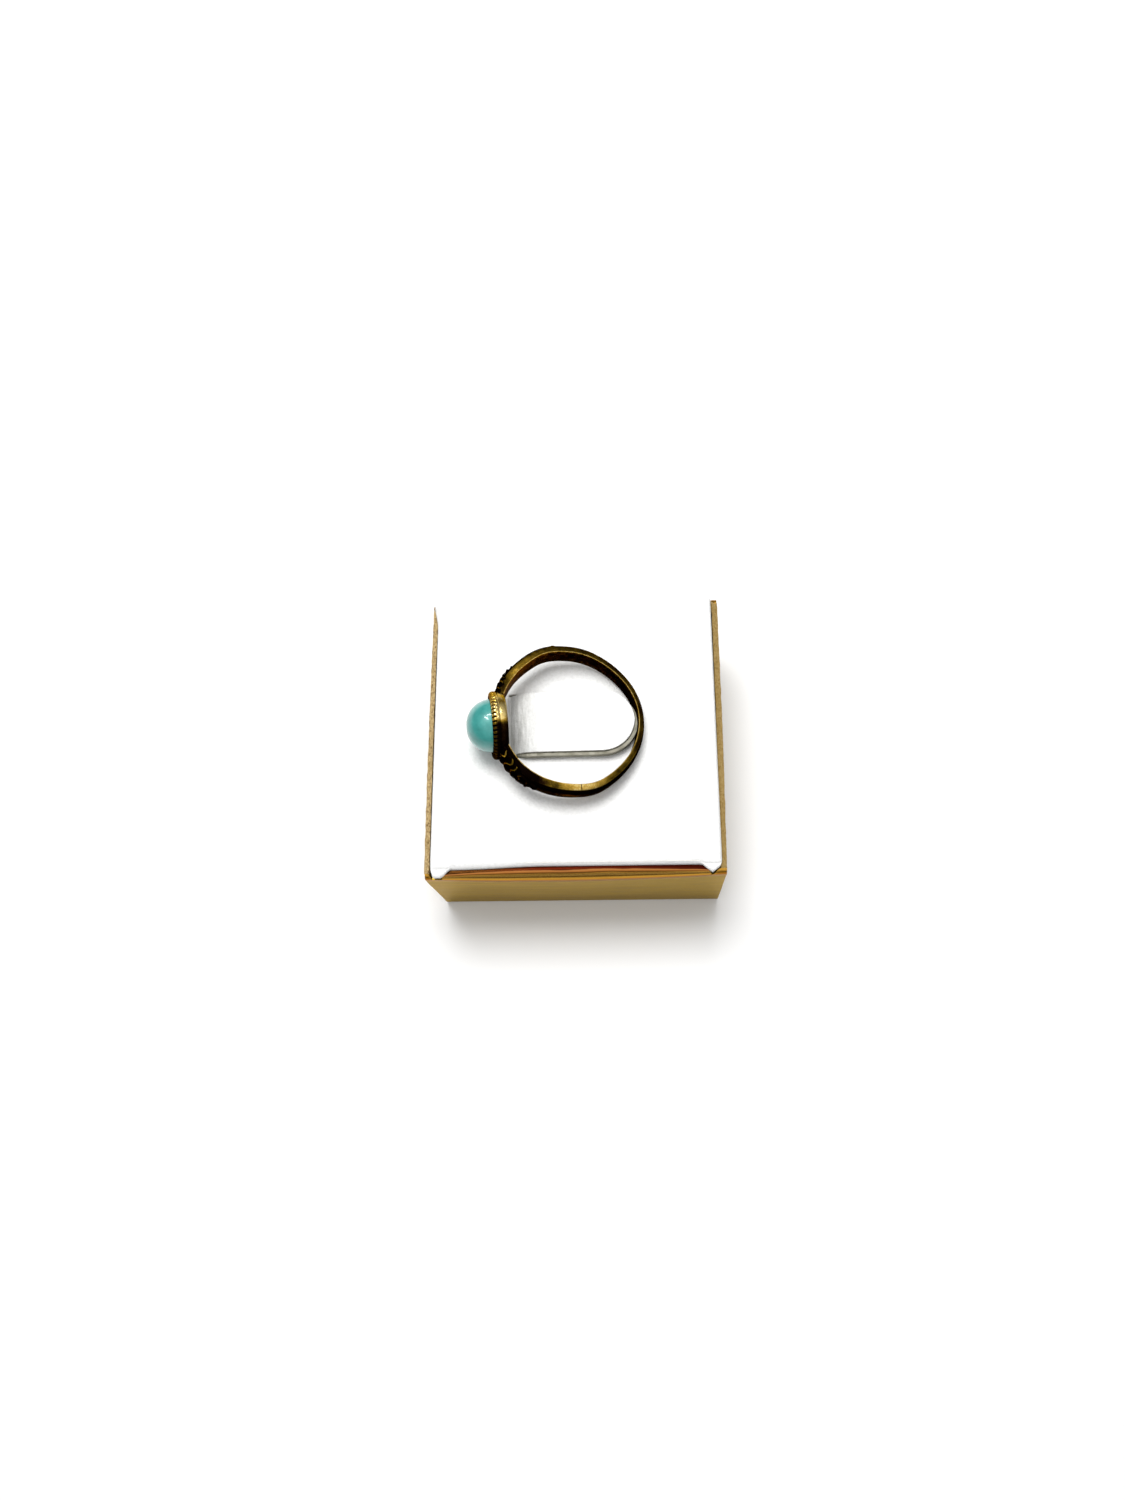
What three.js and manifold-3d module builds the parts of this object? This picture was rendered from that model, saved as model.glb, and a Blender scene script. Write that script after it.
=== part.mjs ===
// Small ring box: a folded tray of foil-laminated board, a leatherette-covered
// insert with a bent-up flap, and the ring that lies round the flap.
// Millimetres, +Z up, +X right, +Y back. The origin is the centre of the tray's underside.

import * as THREE from 'three';
import { mergeVertices } from 'three/addons/utils/BufferGeometryUtils.js';
import Module from 'manifold-3d';

const wasm = await Module();
wasm.setup();

// ---------------------------------------------------------------- tray
const TRAY_WIDTH = 40;
const TRAY_DEPTH = 39;
const TRAY_HEIGHT = 20;
const BOARD = 0.6;
const LEDGE_DEPTH = 3 * BOARD;            // outer ply, ear and inner ply
const LEDGE_HALF_LENGTH = 17.6;           // at the outer edge, before the 45 degree mitre
const EAR_LENGTH = 8;
const INNER_PLY_HALF_LENGTH = LEDGE_HALF_LENGTH - LEDGE_DEPTH;
const PLY_CLEARANCE = 0.1;

// ---------------------------------------------------------------- insert
const INSERT_HALF_WIDTH = 19.1;
const INSERT_FRONT = -18.5;
const INSERT_BACK = 19.4;                 // it hides the back ledge
const INSERT_REST_GAP = 0.05;
const CARD = 0.9;
const LEATHERETTE = 0.35;
const LEG_INSET = 0.35;
const LEG_HALF_LENGTH = 17;
const FOAM_SIDE_GAP = 0.3;
const FOAM_TOP_GAP = 0.6;

// ---------------------------------------------------------------- flap
const FLAP_ROOT_X = -8.7;
const FLAP_TIP_X = 7.8;
const FLAP_CENTRE_Y = 0.75;
const FLAP_HALF_WIDTH = 4.2;
const FLAP_END_LENGTH = 4.4;              // the rounded end, an ellipse quadrant long
const FLAP_BEND_LENGTH = 3.2;
const FLAP_BEND_RISE = 1.6;
const FLAP_TIP_RISE = 2.05;
const FLAP_CURVE_STEPS = 14;
const FLAP_STEP_POWER = 1.4;              // closer steps over the bend
const FLAP_END_STEPS = 20;
const WINDOW_GAP = 0.3;
const WINDOW_TIP_GAP = 0.7;               // the flat flap is longer than the bent one

// ---------------------------------------------------------------- ring
const RING_CENTRE = [-0.6, 0.32, 24.38];
const RING_TILT_DEG = 9;                  // it rests on its collar and the back of its shank
const RING_TURN_DEG = 6.2;
const RING_INNER_RADIUS = 9.17;
const SHANK_WIDTH_BACK = 3.0;
const SHANK_WIDTH_HEAD = 4.0;
const SHANK_THICK_BACK = 0.85;
const SHANK_THICK_HEAD = 1.3;
const SHANK_BEVEL = 0.55;
const SHANK_END_DEG = 151;                // measured from the back of the shank
const SHANK_STEPS = 44;
const RING_GAP = 0.2;
const SHOULDER_START_DEG = 116;
const SHOULDER_END_DEG = 149;
const SHOULDER_THICK = 0.45;
const SHOULDER_TIP_SHARE = 0.35;          // of the shank's width, at the leaf's thin end
const SHOULDER_BASE_SHARE = 0.95;
const SHOULDER_STEPS = 10;
const SHANK_LAYERS = 4;                   // across the width, for the rounded outside
const SHOULDER_LAYERS = 2;
const CUP_BASE = 8.65;                    // from the ring's axis, along the head's axis
const CUP_FLOOR = 0.5;
const CUP_RIM = 10.4;
const CUP_RADIUS = 4.0;
const CUP_WALL = 0.4;
const COLLAR_BASE = 9.6;
const COLLAR_THICK = 0.85;
const COLLAR_TIP_RADIUS = 4.6;
const COLLAR_ROOT_RADIUS = 4.38;
const COLLAR_RIBS = 48;
const STONE_RADIUS = 3.5;
const STONE_GIRDLE = 10.5;
const STONE_APEX = 13.68;
const STONE_STEPS = 8;
const HEAD_SEGMENTS = 30;

// ---------------------------------------------------------------- derived
const HALF_W = TRAY_WIDTH / 2;
const HALF_D = TRAY_DEPTH / 2;
const LEDGE_BOTTOM = TRAY_HEIGHT - BOARD;
const INSERT_BOTTOM = TRAY_HEIGHT + INSERT_REST_GAP;
const CARD_TOP = INSERT_BOTTOM + CARD;
const INSERT_TOP = CARD_TOP + LEATHERETTE;

// ---------------------------------------------------------------- materials
function finish(color, roughness, metalness) {
  return new THREE.MeshStandardMaterial({ color, roughness, metalness });
}

const goldBoard = finish(0xb08a3e, 0.35, 0.9);
const kraftBoard = finish(0xc8a06e, 0.8, 0.0);
const whiteCard = finish(0xe9e6df, 0.8, 0.0);
const whiteLeatherette = finish(0xf4f4f2, 0.5, 0.0);
const whiteFoam = finish(0xf2f2ef, 0.9, 0.0);
const antiqueBrass = finish(0x7a5a26, 0.35, 1.0);
const turquoise = finish(0x5fbfb2, 0.15, 0.0);

// ---------------------------------------------------------------- helpers
const degrees = THREE.MathUtils.degToRad;

function part(name, geometry, material) {
  const mesh = new THREE.Mesh(geometry, material);
  mesh.name = name;
  return mesh;
}

function slab([x0, y0, z0], [x1, y1, z1]) {
  const geometry = new THREE.BoxGeometry(x1 - x0, y1 - y0, z1 - z0);
  geometry.translate((x0 + x1) / 2, (y0 + y1) / 2, (z0 + z1) / 2);
  return geometry;
}

function polygon(points) {
  return new THREE.Shape(points.map(([x, y]) => new THREE.Vector2(x, y)));
}

function extrudeUp(shape, low, height, curveSegments = 12) {
  const options = { depth: height, bevelEnabled: false, curveSegments };
  const geometry = new THREE.ExtrudeGeometry(shape, options);
  geometry.translate(0, 0, low);
  return geometry;
}

// A shape drawn in X and Z, extruded towards +Y from y = low.
function extrudeBack(shape, low, depth) {
  const geometry = extrudeUp(shape, 0, depth);
  geometry.rotateX(Math.PI / 2);
  geometry.translate(0, low + depth, 0);
  return geometry;
}

function toSolid(geometry) {
  const plain = geometry.clone();
  plain.deleteAttribute('normal');
  plain.deleteAttribute('uv');
  const merged = mergeVertices(plain, 1e-5);
  const mesh = new wasm.Mesh({
    numProp: 3,
    vertProperties: new Float32Array(merged.attributes.position.array),
    triVerts: new Uint32Array(merged.index.array),
  });
  return new wasm.Manifold(mesh);
}

function toGeometry(solid) {
  const mesh = solid.getMesh();
  const geometry = new THREE.BufferGeometry();
  geometry.setAttribute('position', new THREE.BufferAttribute(mesh.vertProperties, 3));
  geometry.setIndex(new THREE.BufferAttribute(mesh.triVerts, 1));
  geometry.computeVertexNormals();
  return geometry;
}

// ---------------------------------------------------------------- tray
// The front wall's three pieces, which the back wall repeats half a turn round.
function wallPlate() {
  const ledge = LEDGE_HALF_LENGTH;
  const shape = polygon([
    [-HALF_W, BOARD],
    [HALF_W, BOARD],
    [HALF_W, TRAY_HEIGHT],
    [ledge, TRAY_HEIGHT],
    [ledge, LEDGE_BOTTOM],
    [-ledge, LEDGE_BOTTOM],
    [-ledge, TRAY_HEIGHT],
    [-HALF_W, TRAY_HEIGHT],
  ]);
  return extrudeBack(shape, -HALF_D, BOARD);
}

function wallLedge() {
  const outer = LEDGE_HALF_LENGTH;
  const inner = outer - LEDGE_DEPTH;
  const shape = polygon([
    [-outer, -HALF_D],
    [outer, -HALF_D],
    [inner, -HALF_D + LEDGE_DEPTH],
    [-inner, -HALF_D + LEDGE_DEPTH],
  ]);
  return extrudeUp(shape, LEDGE_BOTTOM, BOARD);
}

function wallInnerPly() {
  const inside = -HALF_D + LEDGE_DEPTH;
  return slab(
    [-INNER_PLY_HALF_LENGTH, inside - BOARD, BOARD],
    [INNER_PLY_HALF_LENGTH, inside, LEDGE_BOTTOM],
  );
}

// A side wall's glue ear, at the front left corner.
function cornerEar() {
  const start = -HALF_W + BOARD;
  return slab(
    [start, -HALF_D + BOARD, BOARD],
    [start + EAR_LENGTH, -HALF_D + 2 * BOARD, LEDGE_BOTTOM - PLY_CLEARANCE],
  );
}

function mirroredLeftToRight(geometry) {
  const { min, max } = boundsOf(geometry);
  return slab([-max.x, min.y, min.z], [-min.x, max.y, max.z]);
}

function boundsOf(geometry) {
  geometry.computeBoundingBox();
  return geometry.boundingBox;
}

function makeTray() {
  const tray = new THREE.Group();
  const sideEnd = HALF_D - BOARD;
  const sideInner = HALF_W - BOARD;
  const legRoom = INSERT_HALF_WIDTH - LEG_INSET - BOARD - FOAM_SIDE_GAP;
  const plyRoom = HALF_D - LEDGE_DEPTH - FOAM_SIDE_GAP;

  const base = slab([-HALF_W, -HALF_D, 0], [HALF_W, HALF_D, BOARD]);
  const left = slab([-HALF_W, -sideEnd, BOARD], [-sideInner, sideEnd, TRAY_HEIGHT]);
  const right = slab([sideInner, -sideEnd, BOARD], [HALF_W, sideEnd, TRAY_HEIGHT]);
  const foamTop = INSERT_BOTTOM - FOAM_TOP_GAP;
  const foam = slab([-legRoom, -plyRoom, BOARD], [legRoom, plyRoom, foamTop]);

  tray.add(part('base_panel', base, kraftBoard));
  tray.add(part('left_wall', left, goldBoard));
  tray.add(part('right_wall', right, goldBoard));
  tray.add(part('foam_block', foam, whiteFoam));

  for (const [side, turn] of [['front', 0], ['back', Math.PI]]) {
    const wall = new THREE.Group();
    wall.rotation.z = turn;
    const ear = cornerEar();
    const [earNear, earFar] = turn === 0 ? ['left', 'right'] : ['right', 'left'];
    wall.add(part(`${side}_wall`, wallPlate(), goldBoard));
    wall.add(part(`${side}_ledge`, wallLedge(), goldBoard));
    wall.add(part(`${side}_inner_ply`, wallInnerPly(), goldBoard));
    wall.add(part(`ear_${side}_${earNear}`, ear, kraftBoard));
    wall.add(part(`ear_${side}_${earFar}`, mirroredLeftToRight(ear), kraftBoard));
    tray.add(wall);
  }
  return tray;
}

// ---------------------------------------------------------------- flap outline
// The flap seen from above: straight sides and an elliptical free end.
// It runs from rootX to tipX, and its sides and end are moved out by grow.
function flapOutline(rootX, tipX, grow) {
  const halfWidth = FLAP_HALF_WIDTH + grow;
  const endLength = FLAP_END_LENGTH + grow;
  const endX = tipX - endLength;
  const shape = new THREE.Path();
  shape.moveTo(rootX, FLAP_CENTRE_Y - halfWidth);
  shape.lineTo(endX, FLAP_CENTRE_Y - halfWidth);
  shape.absellipse(endX, FLAP_CENTRE_Y, endLength, halfWidth, -Math.PI / 2, Math.PI / 2, false);
  shape.lineTo(rootX, FLAP_CENTRE_Y + halfWidth);
  return shape.getPoints(FLAP_END_STEPS);
}

// ---------------------------------------------------------------- insert
function windowedSheet(halfWidth, front, back, low, height) {
  const shape = polygon([
    [-halfWidth, front],
    [halfWidth, front],
    [halfWidth, back],
    [-halfWidth, back],
  ]);
  const outline = flapOutline(FLAP_ROOT_X - WINDOW_GAP, FLAP_TIP_X + WINDOW_TIP_GAP, WINDOW_GAP);
  shape.holes.push(new THREE.Path(outline));
  return extrudeUp(shape, low, height);
}

// Leatherette over the top of the card and down its four edges.
function insertCover() {
  const half = INSERT_HALF_WIDTH;
  const sheet = windowedSheet(half, INSERT_FRONT, INSERT_BACK, INSERT_BOTTOM, CARD + LEATHERETTE);
  const underside = slab(
    [-half + LEATHERETTE, INSERT_FRONT + LEATHERETTE, INSERT_BOTTOM - BOARD],
    [half - LEATHERETTE, INSERT_BACK - LEATHERETTE, CARD_TOP],
  );
  return toGeometry(toSolid(sheet).subtract(toSolid(underside)));
}

function insertCard() {
  return windowedSheet(
    INSERT_HALF_WIDTH - LEATHERETTE,
    INSERT_FRONT + LEATHERETTE,
    INSERT_BACK - LEATHERETTE,
    INSERT_BOTTOM,
    CARD,
  );
}

function insertLeg() {
  const outside = INSERT_HALF_WIDTH - LEG_INSET;
  return slab(
    [-outside, -LEG_HALF_LENGTH, BOARD + PLY_CLEARANCE],
    [-outside + BOARD, LEG_HALF_LENGTH, INSERT_BOTTOM],
  );
}

function makeInsert() {
  const insert = new THREE.Group();
  const leg = insertLeg();
  insert.add(part('insert_card', insertCard(), whiteCard));
  insert.add(part('insert_leg_left', leg, whiteCard));
  insert.add(part('insert_leg_right', mirroredLeftToRight(leg), whiteCard));
  insert.add(part('insert_cover', insertCover(), whiteLeatherette));
  return insert;
}

// ---------------------------------------------------------------- flap
// Height of the flap's top above the insert's top, at distance s from its root:
// it leaves the crease steeply, curves over, and slopes gently to the tip.
function flapRise(s) {
  const bend = Math.min(s / FLAP_BEND_LENGTH, 1);
  const curve = 1 - (1 - bend) ** 2;
  const beyond = Math.max(s - FLAP_BEND_LENGTH, 0);
  const length = FLAP_TIP_X - FLAP_ROOT_X - FLAP_BEND_LENGTH;
  return FLAP_BEND_RISE * curve + (FLAP_TIP_RISE - FLAP_BEND_RISE) * (beyond / length);
}

// One layer of the flap, between two depths below its top surface.
function flapLayer(topDepth, bottomDepth) {
  const length = FLAP_TIP_X - FLAP_ROOT_X;
  const top = [];
  for (let step = 0; step <= FLAP_CURVE_STEPS; step += 1) {
    const share = step / FLAP_CURVE_STEPS;
    const s = (length + WINDOW_GAP) * share ** FLAP_STEP_POWER;
    top.push([FLAP_ROOT_X + s, INSERT_TOP + flapRise(s) - topDepth]);
  }
  const bottom = top.map(([x, z]) => [x, z + topDepth - bottomDepth]).reverse();
  const reach = FLAP_HALF_WIDTH + WINDOW_GAP;
  const strip = extrudeBack(polygon([...top, ...bottom]), FLAP_CENTRE_Y - reach, 2 * reach);
  const plan = new THREE.Shape(flapOutline(FLAP_ROOT_X, FLAP_TIP_X, 0));
  const cutterHeight = INSERT_TOP + FLAP_TIP_RISE + CARD - LEDGE_BOTTOM;
  const cutter = extrudeUp(plan, LEDGE_BOTTOM, cutterHeight);
  return toGeometry(toSolid(strip).intersect(toSolid(cutter)));
}

function makeFlap() {
  const flap = new THREE.Group();
  flap.add(part('flap_card', flapLayer(LEATHERETTE, LEATHERETTE + CARD), whiteCard));
  flap.add(part('flap_cover', flapLayer(0, LEATHERETTE), whiteLeatherette));
  return flap;
}

// ---------------------------------------------------------------- ring
// In the ring's own frame its axis is Z, the head is at -X and the back of the shank at +X.
function towardsHead(angle) {
  return (1 - Math.cos(angle)) / 2;
}

function shankWidth(angle) {
  return THREE.MathUtils.lerp(SHANK_WIDTH_BACK, SHANK_WIDTH_HEAD, towardsHead(angle));
}

function shankOuterRadius(angle) {
  const thick = THREE.MathUtils.lerp(SHANK_THICK_BACK, SHANK_THICK_HEAD, towardsHead(angle));
  return RING_INNER_RADIUS + thick;
}

// A strip bent round the ring, from one angle to another, of unit width along Z.
function bentStrip(startAngle, endAngle, steps, innerRadius, outerRadius, layers) {
  const inner = [];
  const outer = [];
  for (let step = 0; step <= steps; step += 1) {
    const angle = THREE.MathUtils.lerp(startAngle, endAngle, step / steps);
    const direction = [Math.cos(angle), Math.sin(angle)];
    outer.push(direction.map((c) => c * outerRadius(angle)));
    inner.push(direction.map((c) => c * innerRadius(angle)));
  }
  const shape = polygon([...outer, ...inner.reverse()]);
  const geometry = new THREE.ExtrudeGeometry(shape, { depth: 1, steps: layers, bevelEnabled: false });
  geometry.translate(0, 0, -0.5);
  return geometry;
}

// Moves every vertex with a function of its angle, radius and share of the half width.
function reshape(geometry, move) {
  const position = geometry.attributes.position;
  for (let i = 0; i < position.count; i += 1) {
    const x = position.getX(i);
    const y = position.getY(i);
    const angle = Math.atan2(y, x);
    const { radius, z } = move(angle, Math.hypot(x, y), 2 * position.getZ(i));
    position.setXYZ(i, radius * Math.cos(angle), radius * Math.sin(angle), z);
  }
  geometry.computeVertexNormals();
  return geometry;
}

function ringShank() {
  const end = degrees(SHANK_END_DEG);
  const strip = bentStrip(-end, end, SHANK_STEPS, () => RING_INNER_RADIUS, shankOuterRadius, SHANK_LAYERS);
  return reshape(strip, (angle, radius, across) => {
    const middle = (RING_INNER_RADIUS + shankOuterRadius(angle)) / 2;
    const bevel = radius > middle ? SHANK_BEVEL * across * across : 0;
    return { radius: radius - bevel, z: (across * shankWidth(angle)) / 2 };
  });
}

// A leaf-shaped plate on the shank beside the head, widest at the head.
function ringShoulder(side) {
  const start = degrees(SHOULDER_START_DEG);
  const end = degrees(SHOULDER_END_DEG);
  const inner = (angle) => shankOuterRadius(angle) + RING_GAP;
  const outer = (angle) => inner(angle) + SHOULDER_THICK;
  const [from, to] = side > 0 ? [start, end] : [-end, -start];
  const strip = bentStrip(from, to, SHOULDER_STEPS, inner, outer, SHOULDER_LAYERS);
  return reshape(strip, (angle, radius, across) => {
    const share = (Math.abs(angle) - start) / (end - start);
    const growth = Math.sqrt(Math.max(share, 0));
    const leaf = THREE.MathUtils.lerp(SHOULDER_TIP_SHARE, SHOULDER_BASE_SHARE, growth);
    return { radius, z: (across * shankWidth(angle) * leaf) / 2 };
  });
}

// A shape of revolution about the head's axis: radius, then distance from the ring's axis.
function headLathe(profile) {
  const points = profile.map(([radius, distance]) => new THREE.Vector2(radius, distance));
  const geometry = new THREE.LatheGeometry(points, HEAD_SEGMENTS);
  geometry.rotateZ(Math.PI / 2);
  return geometry;
}

function bezelCup() {
  const floor = CUP_BASE + CUP_FLOOR;
  return headLathe([
    [0, CUP_BASE],
    [CUP_RADIUS, CUP_BASE],
    [CUP_RADIUS, CUP_RIM],
    [CUP_RADIUS - CUP_WALL, CUP_RIM],
    [CUP_RADIUS - CUP_WALL, floor],
    [0, floor],
  ]);
}

function cabochon() {
  const base = CUP_BASE + CUP_FLOOR + RING_GAP;
  const dome = [];
  for (let step = 0; step <= STONE_STEPS; step += 1) {
    const angle = (Math.PI / 2) * (step / STONE_STEPS);
    const radius = step === STONE_STEPS ? 0 : STONE_RADIUS * Math.cos(angle);
    dome.push([radius, STONE_GIRDLE + (STONE_APEX - STONE_GIRDLE) * Math.sin(angle)]);
  }
  return headLathe([[0, base], [STONE_RADIUS, base], ...dome]);
}

function bezelCollar() {
  const shape = new THREE.Shape();
  const corners = 4 * COLLAR_RIBS;
  for (let corner = 0; corner < corners; corner += 1) {
    const radius = corner % 4 < 2 ? COLLAR_TIP_RADIUS : COLLAR_ROOT_RADIUS;
    const angle = (2 * Math.PI * corner) / corners;
    const point = [radius * Math.cos(angle), radius * Math.sin(angle)];
    if (corner === 0) shape.moveTo(...point);
    else shape.lineTo(...point);
  }
  const hole = new THREE.Path();
  hole.absarc(0, 0, CUP_RADIUS + RING_GAP, 0, 2 * Math.PI, true);
  shape.holes.push(hole);
  const geometry = extrudeUp(shape, COLLAR_BASE, COLLAR_THICK);
  geometry.rotateY(-Math.PI / 2);
  return geometry;
}

function makeRing() {
  const tilted = new THREE.Group();
  tilted.position.set(...RING_CENTRE);
  tilted.rotation.y = degrees(RING_TILT_DEG);
  const ring = new THREE.Group();
  ring.rotation.z = degrees(RING_TURN_DEG);
  tilted.add(ring);

  ring.add(part('ring_shank', ringShank(), antiqueBrass));
  ring.add(part('shoulder_front', ringShoulder(-1), antiqueBrass));
  ring.add(part('shoulder_back', ringShoulder(1), antiqueBrass));
  ring.add(part('bezel_cup', bezelCup(), antiqueBrass));
  ring.add(part('bezel_collar', bezelCollar(), antiqueBrass));
  ring.add(part('cabochon', cabochon(), turquoise));
  return tilted;
}

// ---------------------------------------------------------------- assembly
const ringBox = new THREE.Group();
ringBox.name = 'ring_box';
ringBox.add(makeTray(), makeInsert(), makeFlap(), makeRing());

export default ringBox;
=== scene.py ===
"""Looks of the ring box: gold-foil tray, white leatherette insert with its flap, and the ring."""

import math

import bmesh
import bpy
from mathutils import Matrix, Vector, noise


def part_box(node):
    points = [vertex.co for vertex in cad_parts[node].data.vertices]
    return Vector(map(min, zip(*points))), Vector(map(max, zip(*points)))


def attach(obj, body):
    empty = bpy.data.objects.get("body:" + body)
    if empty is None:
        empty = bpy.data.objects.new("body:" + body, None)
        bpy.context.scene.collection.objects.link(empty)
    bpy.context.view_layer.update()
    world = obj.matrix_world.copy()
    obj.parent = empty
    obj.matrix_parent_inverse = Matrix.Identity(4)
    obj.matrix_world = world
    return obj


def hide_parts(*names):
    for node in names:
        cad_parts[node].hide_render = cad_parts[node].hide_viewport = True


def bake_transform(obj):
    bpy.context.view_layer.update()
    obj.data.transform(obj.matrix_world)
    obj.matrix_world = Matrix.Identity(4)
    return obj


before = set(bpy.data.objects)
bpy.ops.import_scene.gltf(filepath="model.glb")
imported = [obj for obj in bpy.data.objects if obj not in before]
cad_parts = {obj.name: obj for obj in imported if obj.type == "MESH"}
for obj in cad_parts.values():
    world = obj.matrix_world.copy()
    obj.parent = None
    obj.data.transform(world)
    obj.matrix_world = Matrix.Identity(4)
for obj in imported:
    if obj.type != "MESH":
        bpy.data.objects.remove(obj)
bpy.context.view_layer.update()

MM = 0.001


# ------------------------ sizes, in millimetres
def box_mm(node):
    low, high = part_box(node)
    return low / MM, high / MM


BASE_HIGH = box_mm("base_panel")[1]
HALF_W = BASE_HIGH.x
HALF_D = BASE_HIGH.y
BOARD = BASE_HIGH.z
WALL_TOP = box_mm("left_wall")[1].z
LEDGE_LOW, LEDGE_HIGH = box_mm("front_ledge")
LEDGE_DEPTH = LEDGE_HIGH.y - LEDGE_LOW.y
LEDGE_HALF = LEDGE_HIGH.x
COVER_LOW, COVER_HIGH = box_mm("insert_cover")
CARD_LOW, CARD_HIGH = box_mm("insert_card")
FLAP_LOW, FLAP_HIGH = box_mm("flap_cover")
PAD_TOP = COVER_HIGH.z
LEATHERETTE = PAD_TOP - CARD_HIGH.z
CARD = CARD_HIGH.z - CARD_LOW.z

# The flap's curve, as in the CAD model.
FLAP_CENTRE_Y = (FLAP_LOW.y + FLAP_HIGH.y) / 2
FLAP_HALF = (FLAP_HIGH.y - FLAP_LOW.y) / 2
FLAP_END = 4.4                      # length of its rounded end
FLAP_BEND = 3.2                     # length and height of its bend
FLAP_BEND_RISE = 1.6
FLAP_TIP_RISE = FLAP_HIGH.z - PAD_TOP

# The ring's place and size, as in the CAD model. The stone is a hair fuller.
RING_CENTRE = Vector((-0.6, 0.32, 24.38))
RING_TILT = math.radians(9)
RING_TURN = math.radians(6.2)
RING_INNER = 9.17                   # radius of the finger hole
STONE_RADIUS = 3.55
STONE_APEX = 13.68                  # from the ring's axis

TIGHTEST = 0.02                     # radius left on the inside of the sharpest folds


# ------------------------ mesh helpers
def add_object(name, data):
    obj = bpy.data.objects.new(name, data)
    bpy.context.scene.collection.objects.link(obj)
    return obj


def new_object(name, points, faces, materials, face_materials=None, values=None, sharp=40):
    """A mesh object from points in millimetres. values are kept as the point attribute level.

    Edges that turn more than sharp degrees stay sharp.
    """
    mesh = bpy.data.meshes.new(name)
    mesh.from_pydata([Vector(p) * MM for p in points], [], faces)
    for material in materials:
        mesh.materials.append(material)
    if face_materials:
        mesh.polygons.foreach_set("material_index", face_materials)
    if values:
        level = mesh.attributes.new("level", "FLOAT", "POINT")
        level.data.foreach_set("value", values)
    clean_mesh(mesh)
    mesh.shade_smooth()
    mesh.set_sharp_from_angle(angle=math.radians(sharp))
    return add_object(name, mesh)


def clean_mesh(mesh):
    """Merges doubled points and turns the faces outward."""
    work = bmesh.new()
    work.from_mesh(mesh)
    bmesh.ops.remove_doubles(work, verts=work.verts, dist=1e-7)
    bmesh.ops.recalc_face_normals(work, faces=work.faces)
    work.to_mesh(mesh)
    work.free()


def grid_cells(rows, columns, wrap=False):
    """Four keys (row, column) for each cell of a grid. A wrapped one closes on itself along its columns."""
    cells = []
    for r in range(rows - 1):
        for c in range(columns if wrap else columns - 1):
            c2 = (c + 1) % columns
            cells.append(((r, c), (r, c2), (r + 1, c2), (r + 1, c)))
    return cells


def surface(name, rows, columns, place, material, wrap=False, sharp=40):
    """A single skin: place(row, column) gives a point and its value of the point attribute level."""
    keys = [(r, c) for r in range(rows) for c in range(columns)]
    index = {key: i for i, key in enumerate(keys)}
    points, values = zip(*(place(*key) for key in keys))
    faces = [[index[key] for key in cell] for cell in grid_cells(rows, columns, wrap)]
    return new_object(name, points, faces, [material], values=values, sharp=sharp)


def thick_sheet(name, cells, place, depths, materials, value=None, cut_edge=None, sharp=40):
    """A closed sheet: place(key, depth) gives a key's point, at the depths of its outer and inner side.

    Materials are for the outer side, the inner side and the cut edge. cut_edge says which cells of the two
    sides belong to the cut edge as well.
    """
    keys = sorted({key for cell in cells for key in cell}, key=str)
    index = {key: i for i, key in enumerate(keys)}
    count = len(keys)
    points = [place(key, depth) for depth in depths for key in keys]
    front = [[index[key] for key in cell] for cell in cells]
    back = [[i + count for i in reversed(face)] for face in front]
    rim = []
    directed = {(a, b) for face in front for a, b in zip(face, face[1:] + face[:1])}
    for a, b in directed:
        if (b, a) not in directed:
            rim.append([b, a, a + count, b + count])
    rim.sort()
    on_edge = [bool(cut_edge and cut_edge(cell)) for cell in cells]
    slots = [2 if edge else 0 for edge in on_edge] + [2 if edge else 1 for edge in on_edge] + [2] * len(rim)
    values = [value(key) for key in keys] * 2 if value else None
    return new_object(name, points, front + back + rim, materials, slots, values, sharp)


def add_bevel(obj, width):
    bevel = obj.modifiers.new("rounded_edges", "BEVEL")
    bevel.width = width * MM
    bevel.segments = 2
    bevel.limit_method = "ANGLE"
    bevel.angle_limit = math.radians(35)
    bevel.harden_normals = True


def wander(x, y, z=0.0, size=1.0):
    """Smooth noise from -1 to 1, with a wave of about this size in millimetres."""
    return noise.noise(Vector((x, y, z)) / size)


def lerp(a, b, share):
    return a + (b - a) * share


def clamp(value, low=0.0, high=1.0):
    return max(low, min(high, value))


def smooth(share):
    """0 to 1, with a soft start and end."""
    share = clamp(share)
    return share * share * (3 - 2 * share)


def bell(value, middle, width):
    """1 at the middle, dying away over the width on both sides."""
    return math.exp(-((value - middle) / width) ** 2)


def spread(start, end, count):
    """Evenly spaced values, both ends included."""
    return [lerp(start, end, i / (count - 1)) for i in range(count)]


def arc(centre, radius, start, end, count):
    """Points on an arc, angles in degrees."""
    x, y = centre
    angles = spread(math.radians(start), math.radians(end), count)
    return [(x + radius * math.cos(angle), y + radius * math.sin(angle)) for angle in angles]


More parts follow.
